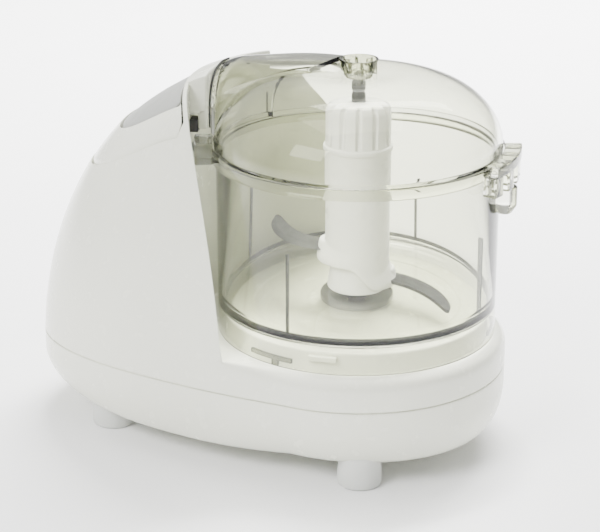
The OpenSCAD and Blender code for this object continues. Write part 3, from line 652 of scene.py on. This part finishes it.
def build_base():
    bm = bmesh.new()
    straight = base_level(0)[1]
    inner = straight * (1 - SEAM_IN / HALF_W)
    rows = [full_ring(inner, SEAM_Z + 2), full_ring(inner, SEAM_Z - SEAM_GAP),
            full_ring(straight * (1 - 0.25 / HALF_W), SEAM_Z - SEAM_GAP),
            full_ring(straight, SEAM_Z - SEAM_GAP - 0.4)]
    rows += [full_ring(straight, z) for z in np.linspace(SEAM_Z - 1.5, UNDER_Z + 19.3, 4)]
    for angle in 90 * ease(26):
        z, half = base_level(angle)
        rows.append(full_ring(half, z))
    verts = add_grid(bm, rows, close_v=True)
    cap(bm, verts[-1])
    cap(bm, verts[0])
    tools = []
    # cooling slots below the motor
    for k in range(-3, 4):
        slot = bmesh.new()
        block(slot, (-109.5 + k * 5, -16, UNDER_Z - 1), (-107.5 + k * 5, 16, UNDER_Z + 3), 0.7)
        tools.append(slot)
    # wells for the housing screws
    for x, y in ((48, 30), (48, -30), (-112, 34), (-112, -34)):
        hole = bmesh.new()
        screw_well = [(0.01, UNDER_Z - 1), (4.3, UNDER_Z - 1), (3.3, UNDER_Z + 0.6), (3.3, 19),
                      (0.01, 19)]
        revolve(hole, screw_well, 32, centre=(x, y))
        tools.append(hole)
    bm = cut_out(bm, tools)
    make_piece("base_shell", bm, "power_unit", "body_white", ["base_cover"])


def build_feet():
    spots = {"foot_front_left": (29, 48), "foot_front_right": (29, -48),
             "foot_rear_left": (-106, 50), "foot_rear_right": (-106, -50)}
    profile = rounded([(0.01, 0.9), (5.6, 0.9), (6.2, 0.0), (10.2, 0.0), (10.0, 8.0), (9.4, 12),
                       (9.2, 15.5), (0.01, 15.5)], 2.2, 6)
    for name, spot in spots.items():
        bm = bmesh.new()
        revolve(bm, profile, 64, centre=spot)
        make_piece(name + "_bumper", bm, "power_unit", "foot_white", [name])


def build_buttons():
    """Paddles that follow the tower's skin, with rolled edges and a skirt below."""
    high = pad_outline("high", -0.05)
    centre = np.array([-98.0, 0.0])
    rows = []
    for share in np.linspace(0.02, 0.94, 22):
        plan = centre + (high - centre) * share
        rows.append([(x, y, tower_height(x, y) - PAD_SINK - 0.9 * (1 - share ** 2)) for x, y in plan])
    for grow, drop in ((-1.1, 0.0), (-0.6, 0.1), (-0.2, 0.4), (0.0, 1.0), (0.0, 4.0)):
        rows.append([(x, y, tower_height(x, y) - PAD_SINK - drop) for x, y in pad_outline("high", grow)])
    bm = bmesh.new()
    verts = add_grid(bm, rows, close_v=True)
    cap(bm, verts[0])
    make_piece("high_speed_paddle", bm, "high_button", "button_grey", ["high_speed_button"])

    bm = bmesh.new()
    rows = []
    outer = pad_outline("low", 0)
    inner = pad_outline("high", PAD_GAP)
    # match each outer point to the inner outline by direction from a common centre
    bearing = np.unwrap(np.arctan2(*(inner - centre).T[::-1]))
    flip = bearing[-1] < bearing[0]
    source = inner[::-1] if flip else inner
    bearing = np.unwrap(np.arctan2(*(source - centre).T[::-1]))
    want = np.arctan2(*(outer - centre).T[::-1])
    want = bearing[0] + (want - bearing[0]) % (2 * math.pi)
    wrap = np.concatenate([bearing, [bearing[0] + 2 * math.pi]])
    ring = np.concatenate([source, source[:1]])
    matched = np.stack([np.interp(want, wrap, ring[:, k]) for k in (0, 1)], 1)

    def skin(plan, drop):
        return [(x, y, tower_height(x, y) - LOW_SINK - drop) for x, y in plan]

    rows = [skin(matched, 4.0), skin(matched, 1.0), skin(matched + (outer - matched) * 0.012, 0.35)]
    for share in np.concatenate([[0.03], np.linspace(0.07, 0.93, 12), [0.97]]):
        rows.append(skin(matched + (outer - matched) * share, 0.0))
    rows += [skin(pad_outline("low", -0.2), 0.3), skin(outer, 0.9), skin(outer, 4.0)]
    add_grid(bm, rows, close_v=True)
    # the front of the ring is left open, where the other paddle runs out to the nose
    reach = max(abs(y) for x, y in inner if math.hypot(x, y) < PAD_FRONT_R - 0.1)
    middles = [(face, face.calc_center_median()) for face in bm.faces]
    front = [face for face, c in middles
             if math.hypot(c.x, c.y) < PAD_FRONT_R + 0.4 and abs(c.y) < reach + 0.3]
    bmesh.ops.delete(bm, geom=front, context="FACES")
    make_piece("low_speed_paddle", bm, "low_button", "body_white", ["low_speed_button"])


# --- Bowl seat and its steel dish ------------------------------------------------------------
SEAT_Z = 64.9


def build_seat():
    """Round turret with its three lock bars, and the dish on top of it."""
    bm = bmesh.new()
    turret = [(60.0, DECK_Z - 0.5), (60.0, SEAT_Z), (50, SEAT_Z), (49, 64.3), (24, 64.3), (22, SEAT_Z),
              (7.0, SEAT_Z), (7.0, 47)]
    revolve(bm, rounded(turret, 1.4, 5), 160)
    for angle in (45, 165, 285):
        arc_block(bm, 58.5, 62.4, angle - 6, angle + 6, 60.8, 63.2, 0.5)
    make_piece("seat_turret", bm, "power_unit", "body_white", ["bowl_seat"])
    bm = bmesh.new()
    dish = [(5.0, SEAT_Z), (15.4, SEAT_Z), (17.2, 66.3), (17.2, 68.4), (16.5, 68.9), (15.4, 68.5),
            (13.2, 66.4), (5.0, 66.4), (5.0, SEAT_Z)]
    revolve(bm, rounded(dish, 0.6, 4), 128)
    make_piece("steel_dish", bm, "power_unit", "bright_steel", ["spindle_collar"])


# --- Bowl ------------------------------------------------------------------------------------


def build_bowl():
    """Lock bars of the skirt, the clear bowl with its grip, its ribs, and a ring at the floor's edge;
    ribs and ring are tinted dark as painted shade.
    """
    bars = bmesh.new()
    for start in (251, 11, 131):
        arc_block(bars, 61.2, 62.95, start, start + 21, 58, 60.2, 0.4)
        arc_block(bars, 61.2, 62.95, start + 11.5, start + 14.5, 55.9, 58, 0.3)
    make_piece("bayonet_bars", bars, "bowl", "clear_plastic", look="clear_mid")

    bm = bmesh.new()
    wall_in = BOWL_R - CLEAR_T
    profile = rounded([
        (5.5, 69.2), (wall_in - 1.5, 69.2), (wall_in, 68.6), (wall_in, 55.8), (BOWL_R, 55.8),
        (BOWL_R - 0.2, FLOOR_Z), (BOWL_R + 0.2, RIM_Z), (BOWL_R + 0.2 - CLEAR_T, RIM_Z),
        (wall_in - 0.4, FLOOR_Z + 4), (wall_in - 1.2, FLOOR_Z), (9.0, FLOOR_Z), (7.6, FLOOR_Z + 1.5),
        (7.5, 119), (5.5, 119), (5.5, 69.2)], 0.6, 4)
    revolve(bm, profile, 192)
    grip = [(0.01, 116), (3, 116), (5.6, 120), (5.6, 129), (0.01, 129)]
    grip_r, a = 68.2, math.radians(16)
    revolve(bm, rounded(grip, 1.0, 4), 40, centre=(grip_r * math.cos(a), grip_r * math.sin(a)))
    make_piece("clear_bowl", bm, "bowl", "clear_plastic", ["bowl"])

    bm = bmesh.new()
    # a dark ring at the floor's edge, painted shade where the clear wall meets the floor
    floor_edge_shade = [(61.6, FLOOR_Z + 0.1), (62.4, FLOOR_Z + 0.1), (62.6, FLOOR_Z + 1.6),
                  (62.1, FLOOR_Z + 1.2), (61.6, FLOOR_Z + 0.1)]
    # the ring goes in before the bevelled blocks, so that every run stores the faces in one order
    revolve(bm, rounded(floor_edge_shade, 0.3, 3), 160)
    for turn in (0, 90, 180, 270):
        block(bm, (61.2, -0.5, FLOOR_Z + 0.5), (62.9, 0.5, 109), 0.25, turn)
    make_piece("bowl_ribs_edge_shade", bm, "bowl", "clear_plastic", look="clear_painted_shade")


# --- Lid ---------------------------------------------------------------------------------------
HOOD_R = 68.9
# the higher, the tighter the blend of hood and dome, and the hood's outer edge
HOOD_BLEND, HOOD_EDGE = 70.0, 90
DOME_POWERS = 1.93, 3.04


def dome_distance(lift):
    """Distance from the dome's centre to its skin, at each elevation in radians."""
    q = np.linspace(0, 1, 2000)
    r, z = DOME_R * power_curve(q, *DOME_POWERS), (DOME_Z - DOME_LOW) * q
    return np.interp(lift, np.arctan2(z, r), np.hypot(r, z))


def hood_measure(x, y, z):
    """Below 1 inside the arch that carries the tower's crown forward onto the lid."""
    along = np.clip((x + 72) / 66, 0, 1)
    half = 25.5 - 15.5 * along ** 1.1
    foot = DOME_LOW - 2 + 24 * along
    top = 174.6 + 8.7 * np.sin(along * math.pi / 2) ** 1.2
    rise = np.maximum(0, (z - foot) / (top - foot))
    arch = (np.abs(y) / half) ** 2.6 + rise ** 2.6
    return arch + np.maximum(0, (x + 6) / 14) ** 2


def lid_skin(turns, lifts):
    """Distance from the dome's centre to the outside of dome and hood together."""
    reach = np.arange(40, 110, 0.1)
    out = np.zeros((len(turns), len(lifts)))
    for i, turn in enumerate(turns):
        for k, lift in enumerate(lifts):
            dome = float(dome_distance(lift))
            far = dome
            if math.cos(turn) < 0.2 and lift < math.pi / 2 - 1e-6:
                flat = reach * math.cos(lift)
                measure = hood_measure(flat * math.cos(turn), flat * math.sin(turn),
                                       DOME_LOW + reach * math.sin(lift))
                within = np.nonzero(measure < 1)[0]
                if len(within):
                    last = within[-1]
                    hood = reach[last]
                    if last + 1 < len(reach):
                        hood += 0.1 * (1 - measure[last]) / (measure[last + 1] - measure[last])
                    wall = HOOD_R / max(math.cos(lift), 1e-6)
                    if hood < 4 * wall:
                        hood = (hood ** -HOOD_EDGE + wall ** -HOOD_EDGE) ** (-1 / HOOD_EDGE)
                    if hood > 0.9 * dome:
                        far = (dome ** HOOD_BLEND + hood ** HOOD_BLEND) ** (1 / HOOD_BLEND)
            out[i, k] = far
    return out


def build_lid():
    """Clear dome with its hood and rim, as one shell."""
    turns = np.radians(np.concatenate([np.arange(0, 140, 4.0), np.arange(140, 220, 1.0),
                                       np.arange(220, 360, 4.0)]))
    lifts = math.pi / 2 * np.linspace(0, 1, 72) ** 0.9
    skin = lid_skin(turns, lifts)
    rows = []
    for turn, far in zip(turns, skin):
        r, z = far * np.cos(lifts), DOME_LOW + far * np.sin(lifts)
        near = far - CLEAR_T
        ri, zi = near * np.cos(lifts), DOME_LOW + near * np.sin(lifts)
        rim = [(ri[0], RIM_Z + 1.2), (ri[0] - 0.3, RIM_Z + 0.3), (65.6, RIM_Z + 0.3), (65.6, 137.6),
               (65.8, 137.3), (LID_R - 0.4, 137.3), (LID_R, 137.8), (LID_R, 143.6),
               (LID_R - 0.4, DOME_LOW)]
        section = np.concatenate([np.column_stack([ri, zi])[::-1], rim, np.column_stack([r, z])])
        rows.append(np.column_stack([section[:, 0] * math.cos(turn), section[:, 0] * math.sin(turn),
                                     section[:, 1]]))
    bm = bmesh.new()
    add_grid(bm, rows, close_u=True)
    make_piece("clear_lid", bm, "lid", "clear_plastic", ["lid"], math.radians(40))


def build_lid_fittings():
    """Pivot cup with its ribs, front tab, and the lug that works the interlock."""
    bm = bmesh.new()
    cup = [(0.01, 174.2), (6.2, 174.2), (9.0, CUP_Z), (7.8, CUP_Z), (4.6, 176), (0.01, 176)]
    revolve(bm, rounded(cup, 0.4, 3), 64)
    for k in range(6):
        a = k * 60 + 10
        block(bm, (4.5, -0.5, 176), (8.6, 0.5, CUP_Z - 1), 0.2, a)
    make_piece("pivot_cup", bm, "lid", "clear_plastic")
    bm = bmesh.new()
    arc_block(bm, LID_R - 0.5, 74.5, -6, 28, 140, 145, 0.8)
    for start, end in ((-6, -1), (4, 9), (14, 19), (23, 28)):
        arc_block(bm, LID_R, 74.0, start, end, 131, 140.5, 0.8)
    make_piece("lid_tab", bm, "lid", "clear_plastic")
    bm = bmesh.new()
    arc_block(bm, LID_R - 0.5, 75.2, 206, 220, 136.7, 146.6, 1.0)
    make_piece("lid_lug", bm, "lid", "clear_plastic", look="clear_mid")


# --- Blade assembly ----------------------------------------------------------------------------
# Direction and height of each blade's root, height of its tip, and how blunt the tip is
BLADES = {"upper": (207, 90.3, 90.3, 7), "lower": (27, 77.7, 74.8, 3.5)}


def blade_mesh(bm, root_angle, root_z, tip_z, blunt):
    """Sickle blade: a curved plate whose leading edge is ground to a thin edge."""
    inner, outer, sweep, thick = 10.5, 53.3, 37, 1.6
    rows = []
    for k in range(41):
        t = k / 40
        r = inner + (outer - inner) * t
        centre = math.radians(root_angle) - math.radians(sweep) * t ** 1.25
        half = 6 * math.sqrt(max(0.0, 1 - t ** blunt)) + 0.05
        z = root_z + (tip_z - root_z) * t
        across = []
        section = [(-1, 0.5), (-0.92, 0.5), (0.35, 0.5), (0.96, 0.06), (1, 0.0), (0.96, -0.06),
                   (0.35, -0.5), (-0.92, -0.5), (-1, -0.5)]
        for side, level in section:
            a = centre + side * half / r
            across.append((r * math.cos(a), r * math.sin(a), z + level * thick))
        rows.append(across)
    verts = add_grid(bm, rows, close_v=True)
    cap(bm, verts[0])
    cap(bm, verts[-1])


def build_blades():
    for name, shape in BLADES.items():
        bm = bmesh.new()
        blade_mesh(bm, *shape)
        make_piece(name + "_sickle", bm, "blade", "blade_steel", [name + "_blade"], math.radians(12))


def build_hub():
    """Hub column with its stepped sleeve, and a knob round each blade's root."""
    bm = bmesh.new()
    rows = []
    for k in range(240):
        turn = 1.5 * k
        # the sleeve's edge winds down from the high blade to the low one, with a flare at each root
        away = abs((turn - BLADES["upper"][0] + 180) % 360 - 180) / 180
        share = min(1.0, max(0.0, (away - 0.42) / 0.3))
        edge = 85.6 - 10.8 * share * share * (3 - 2 * share)
        near = abs((turn - BLADES["lower"][0] + 180) % 360 - 180) / 180
        flare = 3.2 * math.exp(-(away / 0.26) ** 2) + 3.0 * math.exp(-(near / 0.2) ** 2)
        section = rounded([(8.0, HUB_LOW), (HUB_R - 1.2, HUB_LOW), (HUB_R - 2.8, edge - 1.0),
                           (HUB_R - 2.8, edge), (HUB_R + 0.6 + flare, edge),
                           (HUB_R + 0.7 + flare, edge + 2.4), (HUB_R, edge + 6.5 + flare),
                           (HUB_R, CAP_LOW)], 0.9, 5)
        a = math.radians(turn)
        rows.append([(r * math.cos(a), r * math.sin(a), z) for r, z in section])
    add_grid(bm, rows, close_u=True)
    for name in ("lower", "upper"):
        angle, z = BLADES[name][:2]
        knob = [(0.01, z - 4.4), (5.6, z - 4.4), (6.2, z), (5.4, z + 4.2), (0.01, z + 4.4)]
        revolve(bm, rounded(knob, 1.4, 5), 40,
                centre=(12.5 * math.cos(math.radians(angle)), 12.5 * math.sin(math.radians(angle))))
    make_piece("hub_column", bm, "blade", "hub_white", ["blade_hub"])


def build_cap():
    """Hub cap with twelve rounded flutes, which fade out towards its collar and its crown."""
    bm = bmesh.new()
    rows = []
    profile = rounded([(HUB_R, CAP_LOW), (HUB_R + 0.75, CAP_LOW + 0.2), (HUB_R + 0.75, CAP_LOW + 2.2),
                       (HUB_R - 0.2, CAP_LOW + 2.6), (HUB_R - 0.3, HUB_Z - 4),
                       (HUB_R - 1.6, HUB_Z - 1.2), (HUB_R - 5, HUB_Z), (3.3, HUB_Z),
                       (3.3, HUB_Z - 3)], 1.2, 5)
    for k in range(240):
        turn = 2 * math.pi * k / 240
        row = []
        for r, z in profile:
            depth = (min(1.0, max(0.0, (z - CAP_LOW - 3.2) / 1.5))
                     * min(1.0, max(0.0, (HUB_Z + 0.5 - z) / 3)))
            groove = max(0.0, math.cos(12 * turn) - 0.45) / 0.55
            rr = r - (2.6 * depth * groove if r > 8 else 0)
            row.append((rr * math.cos(turn), rr * math.sin(turn), z))
        rows.append(row)
    add_grid(bm, rows, close_u=True)
    make_piece("fluted_cap", bm, "blade", "hub_white", ["hub_cap"])


def build_pin():
    bm = bmesh.new()
    pin = [(0.01, 150), (3.2, 150), (3.2, 167.6), (2.5, 168.6), (3.2, 169.8), (3.2, 172.6),
           (2.4, 173.6), (0.01, 173.6)]
    revolve(bm, rounded(pin, 0.4, 3), 48)
    make_piece("pivot_pin", bm, "blade", "bright_steel", ["hub_pin"])


build_housing()
build_prong()
build_gap_shade_strip()
build_base()
build_feet()
build_buttons()
build_seat()
build_bowl()
build_lid()
build_lid_fittings()
build_blades()
build_hub()
build_cap()
build_pin()

# --- Materials for the CAD nodes that stay -----------------------------------------------------
slot_of = {part["node"]: part["material_slot"] for part in frame["record"]["subparts"]}
for node_name, node in frame["nodes"].items():
    material = MATERIALS[slot_of[node_name]]
    if node.material_slots:
        for place in node.material_slots:
            place.material = material
    else:
        node.data.materials.append(material)

# --- Floor, light and camera ---------------------------------------------------------------------
FLOOR_REACH = 15.0
# Middle of the object, which the lights are placed about and turned to, in metres
TARGET = Vector(AXIS) + Vector((0, 0, 0.09))


def build_floor():
    """A flat floor, wide enough to fill every view from above."""
    bm = bmesh.new()
    places = np.linspace(-FLOOR_REACH, FLOOR_REACH, 9)
    add_grid(bm, [[(x, y, 0.0) for y in places] for x in places])
    for face in bm.faces:
        face.smooth = True
    mesh = bpy.data.meshes.new("floor")
    bm.to_mesh(mesh)
    bm.free()
    floor = bpy.data.objects.new("floor", mesh)
    n = Nodes("paper_floor")
    n.link(n.ramp(n.noise(6, 3), (0.94, 0.94, 0.94), (0.96, 0.96, 0.96)), n.shader, "Base Color")
    n.shader.inputs["Roughness"].default_value = 0.9
    mesh.materials.append(n.material)
    bpy.context.scene.collection.objects.link(floor)


def surround(colour, strength):
    """Even light from all round."""
    world = bpy.data.worlds.new("studio")
    bpy.context.scene.world = world
    world.use_nodes = True
    background = world.node_tree.nodes["Background"]
    background.inputs["Color"].default_value = (*colour, 1)
    background.inputs["Strength"].default_value = strength


def softbox(name, place, size, power, aim=(0, 0, 0)):
    """A rectangular lamp. Its place and aim are metres from the target."""
    lamp = bpy.data.lights.new(name, "AREA")
    lamp.shape = "RECTANGLE"
    lamp.size, lamp.size_y = size
    lamp.energy = power
    obj = bpy.data.objects.new(name, lamp)
    obj.location = TARGET + Vector(place)
    obj.rotation_euler = (TARGET + Vector(aim) - obj.location).to_track_quat("-Z", "Y").to_euler()
    obj.visible_glossy = False
    bpy.context.scene.collection.objects.link(obj)


def place_camera(azimuth, elevation, distance, left, up, lens):
    """Stands off from the bowl's floor, and looks a little to the left of it and above it."""
    azimuth, elevation = math.radians(azimuth), math.radians(elevation)
    toward = Vector((math.sin(azimuth) * math.cos(elevation),
                     -math.cos(azimuth) * math.cos(elevation), math.sin(elevation)))
    right = Vector((math.cos(azimuth), math.sin(azimuth), 0))
    above = toward.cross(right)
    bowl_floor = Vector(AXIS) + Vector((0, 0, FLOOR_Z * MM))
    camera = bpy.data.objects.new("camera", bpy.data.cameras.new("camera"))
    camera.data.lens = lens
    camera.location = bowl_floor + toward * distance
    aim = bowl_floor - right * left + above * up
    camera.rotation_euler = (aim - camera.location).to_track_quat("-Z", "Y").to_euler()
    bpy.context.scene.collection.objects.link(camera)
    bpy.context.scene.camera = camera


build_floor()
surround((1.0, 1.0, 0.99), 0.7)
softbox("key_front", (-0.3, -1.05, 0.8), (0.6, 0.45), 22)
softbox("overhead", (-0.1, 0.1, 1.3), (1.0, 0.8), 9)
softbox("left_fill", (-1.0, -0.5, 0.5), (0.6, 0.8), 0.8)
softbox("backdrop", (-0.2, 0.9, 1.1), (1.2, 0.4), 130, aim=(-0.6, 1.2, 0.0))
place_camera(azimuth=29, elevation=20.63, distance=0.945, left=0.0267, up=0.0117, lens=120.96)
